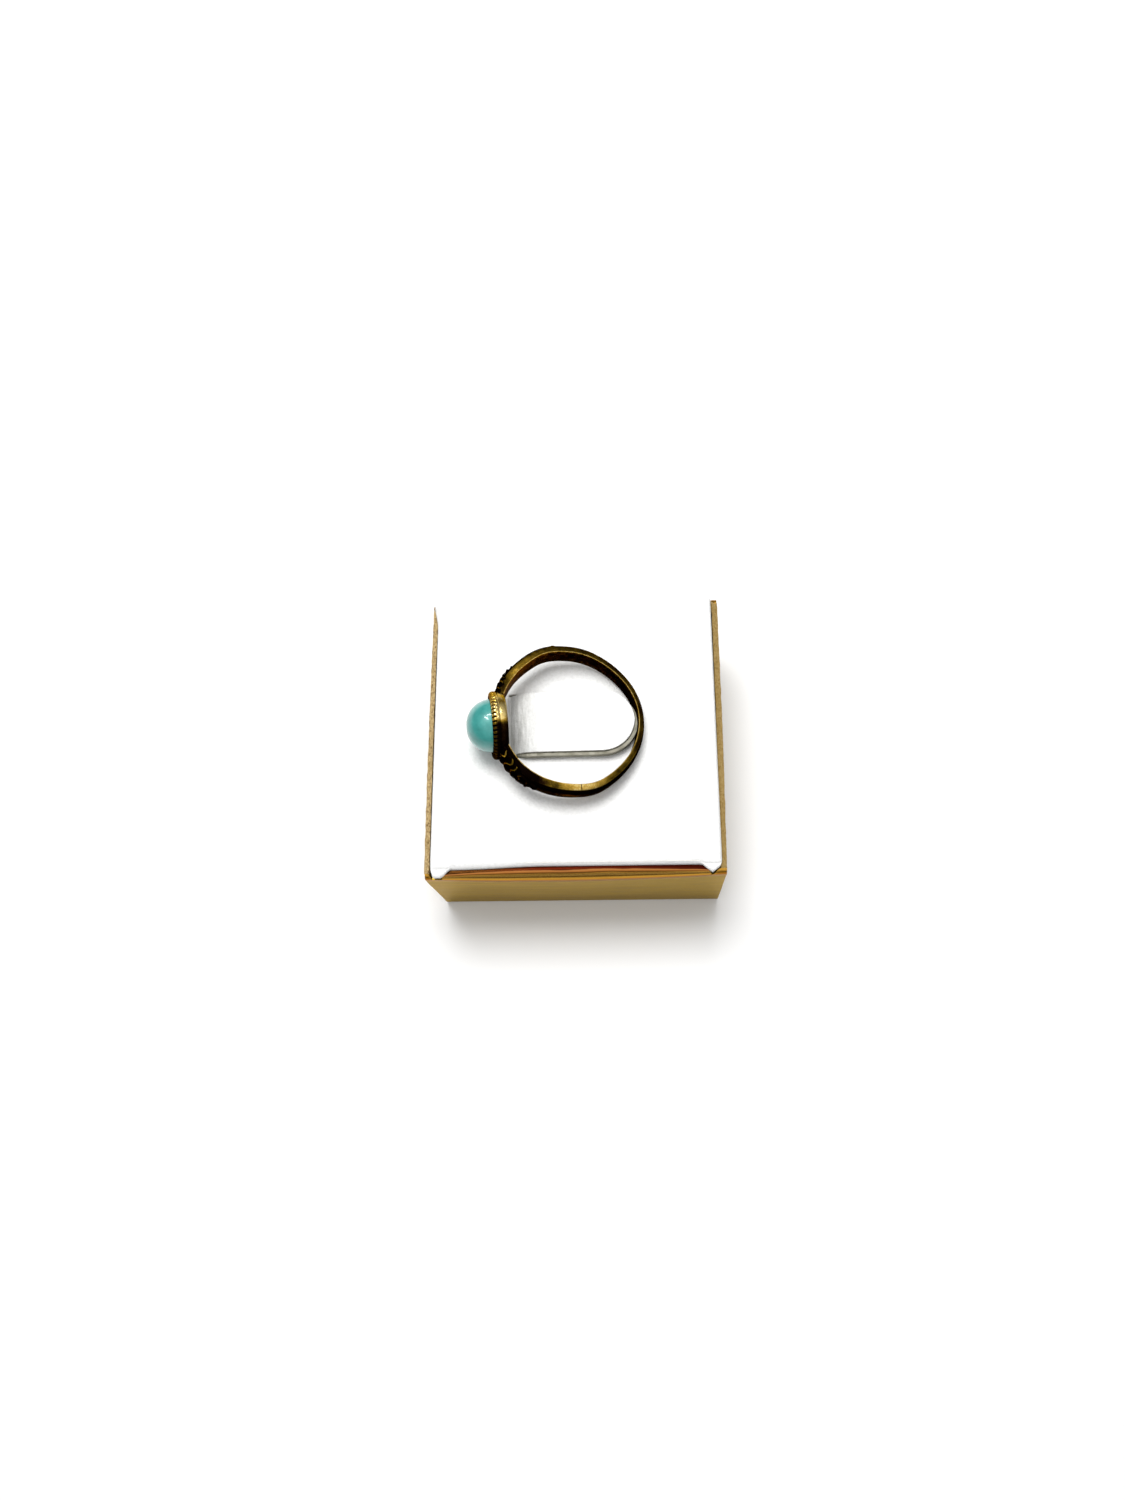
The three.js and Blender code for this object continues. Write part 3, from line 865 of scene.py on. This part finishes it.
def flap_sheet(name, top_depth, bottom_depth, grow_near, grow_tip, materials):
    """One layer of the flap between two depths below its top.

    grow_near and grow_tip are how far it sticks out past the leatherette at its near edge and its tip.
    """
    root = FLAP_LOW.x - WINDOW_GAP
    tip = FLAP_HIGH.x + 0.3 + grow_tip
    end = FLAP_END + grow_tip
    xs = spread(root, FLAP_LOW.x + 5, 70)
    xs += spread(FLAP_LOW.x + 5, tip - end, 20)[1:]
    xs += [tip - end + end * math.sin(a) for a in spread(0, math.pi / 2 * 0.995, 26)[1:]]
    columns = spread(-1, 1, 61)

    def place(key, depth):
        x = xs[key[0]]
        across = columns[key[1]]
        s = max(x - FLAP_LOW.x, 0.0)
        free = smooth(s / 2.5)
        near = FLAP_CENTRE_Y - FLAP_HALF - grow_near * free
        far = FLAP_CENTRE_Y + FLAP_HALF - 0.5 * grow_near * free
        half = (far - near) / 2
        if x > tip - end:
            half *= math.sqrt(max(1 - ((x - tip + end) / end) ** 2, 0.0))
        y = (near + far) / 2 + half * across
        z = PAD_TOP + flap_rise(s)
        wrinkle = smooth((6.0 - s) / 5.0) * smooth(s / 0.35)
        folds = wander(x, y * 0.12, 2.0, 0.42) + 0.7 * wander(x, y * 0.3, 6.0, 0.25)
        z += wrinkle * 0.075 * folds
        z += free * (0.05 * wander(x, y, 3.0, 4.0) - 0.08 * across * across)
        if depth < LEATHERETTE:
            z -= 0.1 * abs(across) ** 14 * free
        return (x, y, z - depth)

    def painted_root_shade(key):
        """Painted shade on the flap's root, where it bends up from the pad."""
        near_root = smooth((FLAP_LOW.x + 6.5 - xs[key[0]]) / 6.5)
        return 0.62 * near_root * lerp(1.0, 0.6, smooth(columns[key[1]]))

    cells = grid_cells(len(xs), len(columns))
    return thick_sheet(name, cells, place, (top_depth, bottom_depth), materials, painted_root_shade, sharp=60)


# ------------------------ ring
RING_PLACE = (Matrix.Translation(RING_CENTRE * MM) @ Matrix.Rotation(RING_TILT, 4, "Y")
              @ Matrix.Rotation(RING_TURN, 4, "Z"))
BAND_END = math.radians(165)
SEAM_ANGLE = math.radians(-88)


def place_ring(obj):
    obj.data.transform(RING_PLACE)
    return obj


def out_of_round(degrees):
    """The band is a little bent: flattened at the upper right, bulging near the top and the bottom."""
    return 0.24 * bell(degrees, -76, 15) + 0.2 * bell(degrees, 105, 12) - 0.4 * bell(degrees, 45, 32)


def band_size(angle):
    """Half width and thickness of the band. It flares a little up to the head, at half a turn."""
    towards = (1 - math.cos(angle)) / 2
    flare = smooth((abs(math.degrees(angle)) - 138) / 24)
    return lerp(1.5, 2.0, towards) + 0.55 * flare, lerp(0.85, 1.4, towards ** 0.7) - 0.3 * flare


def band_profile(angle):
    """The band's section: (outward, up, patina) points round it, anticlockwise from the inside's foot. Its
    patina level also carries painted highlight and painted shade round the band.
    """
    half, thick = band_size(angle)
    degrees = math.degrees(angle)
    blotch = 0.2 * wander(math.cos(angle), math.sin(angle), 3.0, 0.3)
    # painted highlight where the band faces the front, and a faint one at the back left; painted shade from
    # the front left round to the head, and a little at the right
    painted_highlight = 0.5 * bell(degrees, -82, 17) + 0.1 * bell(degrees, 122, 22)
    painted_darkening = 0.6 * smooth((-112 - degrees) / 16) + 0.12 * bell(degrees, -20, 22)
    shade = blotch + painted_darkening - painted_highlight
    seam = clamp(1 - abs(angle - SEAM_ANGLE) / 0.006)
    facet = 0.62 + shade + seam
    inside = 0.8 - 0.42 * smooth((degrees - 75) / 75)
    rim = 0.9 * seam
    dip = 0.07 * seam
    upper = [
        (0.0, 0.0, inside), (0.0, 0.5 * half, inside), (0.0, half - 0.14, inside - 0.1),
        (0.015, half - 0.06, 0.3 + rim), (0.05, half, 0.05 + rim), (0.09, half - 0.01 - dip, 0.15 + rim),
        (0.14, half - 0.035 - dip, facet - 0.1), (0.36 * thick, half - 0.09 - dip, facet),
        (0.60 * thick, half - 0.2 - dip, facet), (0.68 * thick, half - 0.25, facet - 0.12),
        (0.73 * thick, half - 0.33, 0.95), (0.82 * thick, half - 0.46, 1.15),
        (0.95 * thick, half - 0.8, 1.1), (thick, 0.2 * half, 0.72 + blotch), (thick, 0.0, 0.68 + blotch),
    ]
    lower = [(out, -up, 0.35 + 0.5 * level) for out, up, level in reversed(upper[1:-1])]
    return upper + lower


def ring_band(material):
    """The band round from one side of the head to the other, with its seam."""
    angles = spread(-BAND_END, BAND_END, 241)
    angles += [SEAM_ANGLE + step * 0.003 for step in (-3, -2, -1, 0, 1, 2, 3)]
    angles.sort()
    count = len(band_profile(0.0))

    def place(r, c):
        angle = angles[r]
        out, up, level = band_profile(angle)[c]
        dent = 0.03 * wander(math.cos(angle) * 9, math.sin(angle) * 9, up, 2.0)
        degrees = math.degrees(angle)
        knock = 0.12 * bell(degrees, 97, 1.3) * (out > 0.5)
        radius = RING_INNER + out_of_round(degrees) + out * (1 + dent) + knock
        return (radius * math.cos(angle), radius * math.sin(angle), up + 0.4 * dent), level

    band = surface("ring_band", len(angles), count, place, material, wrap=True, sharp=30)
    return place_ring(band)


def leaf_relief(share, across):
    """Height from 0 to 1 of the chased leaf: a midrib, with curled veins on both sides of it."""
    side = abs(across)
    rib = 0.8 * bell(across, 0, 0.05)
    warp = 0.3 * wander(share * 7, across * 2.5, 5.0)
    turns = 5.6 * share + 1.2 * math.sqrt(side) + 0.16 * math.sin(11 * side) + warp
    swirl = math.cos(2 * math.pi * turns)
    return max(rib, smooth((swirl - 0.35) / 0.65) * smooth((side - 0.05) / 0.1))


def section_point(half, thick, across):
    """A point on the band's outer side and its outward direction; across is -1 to 1 from foot to top."""
    path = [(thick, 0.0), (thick, 0.2 * half), (0.95 * thick, half - 0.8), (0.82 * thick, half - 0.46),
            (0.73 * thick, half - 0.33), (0.6 * thick, half - 0.2), (0.3 * thick, half - 0.07)]
    lengths = [math.dist(a, b) for a, b in zip(path, path[1:])]
    left = abs(across) * sum(lengths) * 0.9999
    index = 0
    while left > lengths[index]:
        left -= lengths[index]
        index += 1
    (out_a, up_a), (out_b, up_b) = path[index], path[index + 1]
    share = left / lengths[index]
    normal = Vector((up_b - up_a, out_a - out_b)).normalized()
    sign = math.copysign(1, across)
    return lerp(out_a, out_b, share), sign * lerp(up_a, up_b, share), normal.x, sign * normal.y


def leaf_shoulder(name, side, tip, material):
    """A chased leaf with scalloped edges, wrapped over the band from its tip's angle to the head."""
    start, end = math.radians(tip), math.radians(158)
    rows, columns = 190, 111

    def place(r, c):
        share = r / (rows - 1)
        across = 2 * c / (columns - 1) - 1
        angle = side * lerp(start, end, share)
        half, thick = band_size(angle)
        scallop = abs(math.sin(math.pi * (4.5 * share + 0.25)))
        width = lerp(0.3, 0.97, smooth(share * 1.5)) * lerp(0.84, 1.0, scallop)
        mask = smooth((width - abs(across)) / 0.07) * smooth(share / 0.1)
        relief = leaf_relief(share, across) * mask
        height = lerp(-0.16, 0.04 + 0.1 * scallop + 0.13 * relief, mask)
        out, up, out_way, up_way = section_point(half, thick, across)
        radius = RING_INNER + out_of_round(math.degrees(angle)) + out + out_way * height
        point = (radius * math.cos(angle), radius * math.sin(angle), up + up_way * height)
        return point, 1.2 - (0.4 + 0.6 * share) * relief ** 10

    leaf = surface(name, rows, columns, place, material, sharp=60)
    backing = leaf.modifiers.new("thickness", "SOLIDIFY")
    backing.thickness = 0.08 * MM
    backing.offset = -side
    return place_ring(leaf)


def head_lathe(name, profile, segments, material, shape, sharp=35):
    """A turned piece about the head's axis, from (radius, distance, patina) points.

    shape(radius, distance, patina, angle) gives the radius and the patina level, painted light included,
    that a point gets.
    """
    def place(r, c):
        radius, distance, patina = profile[r]
        angle = 2 * math.pi * c / segments
        radius, level = shape(radius, distance, patina, angle)
        return (-distance, radius * math.cos(angle), radius * math.sin(angle)), level

    return place_ring(surface(name, len(profile), segments, place, material, wrap=True, sharp=sharp))


def head_shade(angle):
    """Painted light round the head's metal: a painted highlight above and a little to the back, and painted
    shade that turns it black at the front and darker underneath.
    """
    front = -math.cos(angle)
    painted_highlight = 0.22 * bell(front, -0.12, 0.3)
    return 0.9 * smooth((front - 0.08) / 0.25) + 0.5 * smooth((-math.sin(angle) - 0.1) / 0.4) - painted_highlight


def stone_cup(material):
    """The cup that holds the stone: a flat back and a plain swelling wall up to the collar."""
    profile = [
        (0.0, 8.45, 0.9), (3.0, 8.45, 0.8), (4.05, 8.46, 0.6), (4.24, 8.5, 0.3), (4.33, 8.6, 0.15),
        (4.37, 8.8, 0.15), (4.41, 9.1, 0.1), (4.42, 9.4, 0.15), (4.4, 9.6, 0.3), (4.1, 9.8, 0.8),
        (4.0, 10.2, 1.0), (3.62, 10.3, 1.1), (3.5, 9.4, 1.1), (0.0, 9.4, 1.1),
    ]

    def patina_and_painted_light(radius, distance, patina, angle):
        wear = 0.25 * wander(math.cos(angle) * 4, math.sin(angle) * 4, distance, 1.2)
        # head_shade adds the painted highlight and painted shade round the head
        return radius * (1 + 0.006 * wear), patina + wear + head_shade(angle)

    return head_lathe("stone_cup", profile, 160, material, patina_and_painted_light)


def ribbed_collar(material):
    """The milled collar round the stone's foot: plain at its root, notched at the stone."""
    ribs = 48
    profile = [(4.1, 9.4), (4.4, 9.42), (4.46, 9.52), (4.5, 9.7), (4.52, 9.9), (4.52, 10.0), (4.5, 10.12),
               (4.46, 10.24), (4.36, 10.36), (4.2, 10.46), (3.95, 10.5), (3.62, 10.46), (3.45, 10.34),
               (3.45, 9.9), (4.1, 9.4)]

    def notched(radius, distance, patina, angle):
        wave = smooth(abs(math.cos(ribs * angle / 2)) * 1.35)
        deep = smooth((distance - 9.8) / 0.35) * smooth((radius - 3.4) / 0.2)
        gap = (1 - wave) * deep
        shade = head_shade(angle) * (1 - 0.45 * wave * deep)
        return radius - 0.34 * gap, patina + 1.15 * gap + shade

    profile = [(radius, distance, 0.15) for radius, distance in profile]
    return head_lathe("ribbed_collar", profile, ribs * 10, material, notched, sharp=60)


def turquoise_stone(material):
    """A tall cabochon, a little fuller than a half sphere."""
    rows = [(0.0, 9.6, 0.0), (3.3, 9.6, 0.0), (3.42, 9.9, 0.0)]
    foot = 10.15
    for angle in spread(0, math.pi / 2, 30):
        radius = STONE_RADIUS * math.cos(angle) ** 0.92 if angle < 1.57 else 0.0
        rows.append((radius, foot + (STONE_APEX - foot) * math.sin(angle) ** 0.96, 0.0))

    def uneven(radius, distance, patina, angle):
        return radius * (1 + 0.006 * wander(math.cos(angle), math.sin(angle), distance * 0.4, 0.9)), patina

    return head_lathe("turquoise_stone", rows, 120, material, uneven, sharp=60)


# ------------------------ stage
def pale_floor():
    n = Nodes("pale_floor")
    shade = n.noise(0.01, detail=2.0)
    colour = n.ramp(shade, [(0.3, (0.86, 0.86, 0.855, 1.0)), (0.7, grey(0.9))])
    material = n.finish(Base_Color=colour, Roughness=0.6)
    mesh = bpy.data.meshes.new("floor")
    reach = 3.0
    mesh.from_pydata([(-reach, -reach, 0), (reach, -reach, 0), (reach, reach, 0), (-reach, reach, 0)],
                     [], [(0, 1, 2, 3)])
    mesh.materials.append(material)
    add_object("floor", mesh)


def area_light(name, place, aim, size, power):
    light = bpy.data.lights.new(name, "AREA")
    light.shape = "RECTANGLE"
    light.size, light.size_y = size
    light.energy = power
    obj = add_object(name, light)
    obj.location = place
    obj.rotation_euler = (Vector(aim) - Vector(place)).to_track_quat("-Z", "Y").to_euler()
    return obj


def lights():
    """A soft key from above, and two narrow strips that show only as a hook in the stone's polish."""
    aim = (0, 0, 0.02)
    key = area_light("key", (-0.03, 0.12, 0.44), aim, (0.2, 0.2), 1.75)
    key.visible_glossy = False
    stone = (-0.014, 0, 0.027)
    for strip in (area_light("strip_across", (-0.045, 0.18, 0.35), stone, (0.14, 0.035), 0.34),
                  area_light("strip_down", (-0.12, 0.1, 0.385), stone, (0.035, 0.15), 0.4)):
        strip.visible_diffuse = False


def surroundings():
    """A studio with a bright ceiling, dim towards the horizon."""
    world = bpy.data.worlds.new("studio")
    bpy.context.scene.world = world
    world.use_nodes = True
    tree = world.node_tree
    background = tree.nodes["Background"]
    coordinates = tree.nodes.new("ShaderNodeTexCoord")
    mapping = tree.nodes.new("ShaderNodeMapping")
    mapping.inputs["Rotation"].default_value = (math.radians(-8), 0, 0)
    split = tree.nodes.new("ShaderNodeSeparateXYZ")
    ramp = tree.nodes.new("ShaderNodeValToRGB")
    tree.links.new(coordinates.outputs["Generated"], mapping.inputs["Vector"])
    tree.links.new(mapping.outputs["Vector"], split.inputs[0])
    tree.links.new(split.outputs["Z"], ramp.inputs["Fac"])
    tree.links.new(ramp.outputs["Color"], background.inputs["Color"])
    set_stops(ramp, [(0.0, grey(0.16)), (0.35, grey(0.2)), (0.7, grey(0.5)), (0.9, grey(1.0))])
    background.inputs["Strength"].default_value = 0.98


def camera():
    """Looks down on the box from just in front of it, turned a little about its own axis."""
    place = Vector((0.00591, -0.04894, 0.16568))
    aim = Vector((-0.00173, -0.00240, 0.020))
    roll = math.radians(9.9)
    forward = (aim - place).normalized()
    level = forward.cross(Vector((0, 0, 1))).normalized()
    above = level.cross(forward)
    right = level * math.cos(roll) - above * math.sin(roll)
    up = right.cross(forward)
    data = bpy.data.cameras.new("camera")
    data.lens = 27.05
    data.sensor_width = 36
    data.clip_start = 0.005
    data.clip_end = 20
    turn = Matrix((right, up, -forward)).transposed().to_4x4()
    obj = add_object("camera", data)
    obj.matrix_world = Matrix.Translation(place) @ turn
    bpy.context.scene.camera = obj


# ------------------------ assembly
def put(obj, body, slot, *nodes):
    """Hooks a piece up: the CAD body it rides on, and the nodes it stands for. slot, its finish, is not
    used.
    """
    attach(obj, body)
    if nodes:
        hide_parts(*nodes)
    return obj


def dress(node, material):
    """A CAD node that stays: its material, and softened edges."""
    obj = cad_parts[node]
    for place in obj.material_slots:
        place.material = material
    if not obj.material_slots:
        obj.data.materials.append(material)
    add_bevel(obj, 0.06)


foil_x = gold_foil("gold_foil", 0)
foil_painted_fold = gold_foil("gold_foil_painted_fold", 0, paint_fold_reflections=True)
foil_y = gold_foil("gold_foil_side", 1)
kraft = kraft_edge("kraft_edge", 0.0)
# A darker, golder copy of the kraft edge, for the right side wall's inner side and top edge.
kraft_darker = kraft_edge("kraft_edge_darker", 0.65)
leather = leatherette("white_leatherette")
leather_painted_shade = leatherette("white_leatherette_painted_shade", paint_shade=True)
edge_card = card_edge()
card = white_card()
gap_shadow_material = gap_shadow_grey()
foam_material = white_foam()
brass = antique_brass()
stone_material = turquoise()

# The front and back walls' folds carry painted reflections and a painted shadow line.
put(folded_wall("front_folded_wall", False, (0.42, 0.3, 0.12), [foil_painted_fold, kraft, foil_x]),
    "tray", "gold_board", "front_wall", "front_ledge", "front_inner_ply")
put(folded_wall("back_folded_wall", True, (0.1, 0.15, 0.1), [foil_painted_fold, kraft, kraft]),
    "tray", "gold_board", "back_wall", "back_ledge", "back_inner_ply")
put(side_wall("left_side_wall", -1, (0.08, 0.0), 0.35, 0.66, [foil_y, kraft, kraft]),
    "tray", "gold_board", "left_wall")
put(side_wall("right_side_wall", 1, (-0.26, 0.06), 0.08, 0.8, [foil_y, kraft_darker, kraft_darker]),
    "tray", "gold_board", "right_wall")
put(base_board([foil_x, kraft, kraft]), "tray", "kraft_board", "base_panel")
foam = put(foam_pad(foam_material), "tray", "white_foam", "foam_block")
for ear in ("ear_front_left", "ear_front_right", "ear_back_left", "ear_back_right"):
    dress(ear, kraft)

for node in ("insert_card", "insert_leg_left", "insert_leg_right"):
    dress(node, card)
cover = put(leatherette_cover([leather, card, card]), "insert", "white_leatherette", "insert_cover")

flap_board = flap_sheet("flap_board", LEATHERETTE + 0.06, LEATHERETTE + CARD, 0.52, 0.4,
                        [edge_card, card, edge_card])
# A thin dark ply between the flap's leatherette and card: a painted shadow line of the gap between them.
shadow_line_ply = flap_sheet("flap_shadow_line", LEATHERETTE + 0.005, LEATHERETTE + 0.055, 0.14, 0.08, [gap_shadow_material] * 3)
# The flap's leatherette carries painted shade at its root.
flap_top = flap_sheet("flap_leatherette", 0.0, LEATHERETTE, 0.0, 0.0, [leather_painted_shade, card, card])
for piece, slot, node in ((flap_board, "white_card", "flap_card"),
                          (shadow_line_ply, "white_card", "flap_card"),
                          (flap_top, "white_leatherette", "flap_cover")):
    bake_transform(piece)
    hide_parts(node)

put(ring_band(brass), "ring", "antique_brass", "ring_shank")
put(leaf_shoulder("leaf_shoulder_front", -1, 119, brass), "ring", "antique_brass", "shoulder_front")
put(leaf_shoulder("leaf_shoulder_back", 1, 129, brass), "ring", "antique_brass", "shoulder_back")
put(stone_cup(brass), "ring", "antique_brass", "bezel_cup")
put(ribbed_collar(brass), "ring", "antique_brass", "bezel_collar")
put(turquoise_stone(stone_material), "ring", "turquoise_stone", "cabochon")

pale_floor()
lights()
surroundings()
camera()
bpy.context.scene.view_settings.view_transform = "Standard"
